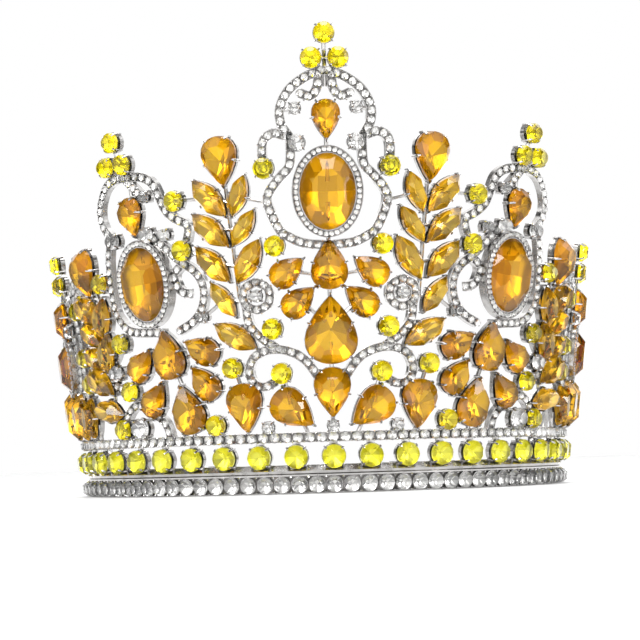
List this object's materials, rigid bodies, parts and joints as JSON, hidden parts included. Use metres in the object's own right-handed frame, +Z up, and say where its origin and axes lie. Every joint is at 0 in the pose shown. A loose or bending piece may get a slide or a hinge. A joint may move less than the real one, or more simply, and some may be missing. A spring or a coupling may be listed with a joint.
{
  "type": "pageant crown",
  "caption": "Pierced, stone-set pageant crown: a jewelled band under a flared wall of scrolls, ovals and leaf sprays, open at the back with two adjustable flat straps.",
  "frame": {"origin": "under the middle of the crown's box, on the plane that it stands on; the band's axis is 10 mm behind it", "axes": "+Z up, parallel to the band's axis, -Y to the front of the crown, +X to the right of a viewer who looks at the front"},
  "size_m": [0.1688, 0.1645, 0.1287],
  "materials": {
    "silver": "polished white-metal plating, bright on the claws and darker in the crevices between the stones",
    "strap": "plain flat steel, finely brushed along its length",
    "amber": "cut golden-amber glass with a foiled back",
    "yellow": "cut lemon-yellow glass with a foiled back",
    "clear": "cut clear rhinestone with a silvered back"
  },
  "bodies": {
    "root": {"crown_frame": "silver", "left_strap": "strap", "right_strap": "strap", "centre_oval": "amber", "centre_top_bud": "amber", "centre_upper_pear": "amber", "centre_drop": "amber", "centre_low_pear": "amber", "right_upper_petal": "amber", "right_lower_petal": "amber", "right_inner_base_pear": "amber", "right_outer_base_pear": "amber", "right_spray_pear": "amber", "right_mid_oval": "amber", "right_mid_top_bud": "amber", "right_mid_upper_pear": "amber", "right_mid_inner_petal_high": "amber", "right_mid_inner_petal_low": "amber", "right_mid_outer_petal_high": "amber", "right_mid_outer_petal_low": "amber", "right_mid_low_pear": "amber", "right_side_spray_pear": "amber", "right_side_oval": "amber", "right_side_top_bud": "amber", "left_upper_petal": "amber", "left_lower_petal": "amber", "left_inner_base_pear": "amber", "left_outer_base_pear": "amber", "left_spray_pear": "amber", "left_mid_oval": "amber", "left_mid_top_bud": "amber", "left_mid_upper_pear": "amber", "left_mid_inner_petal_high": "amber", "left_mid_inner_petal_low": "amber", "left_mid_outer_petal_high": "amber", "left_mid_outer_petal_low": "amber", "left_mid_low_pear": "amber", "left_side_spray_pear": "amber", "left_side_oval": "amber", "left_side_top_bud": "amber", "leaf_stones": "amber", "yellow_stones": "yellow", "yellow_row": "yellow", "clear_stones": "clear", "clear_row": "clear"}
  },
  "joints": []
}
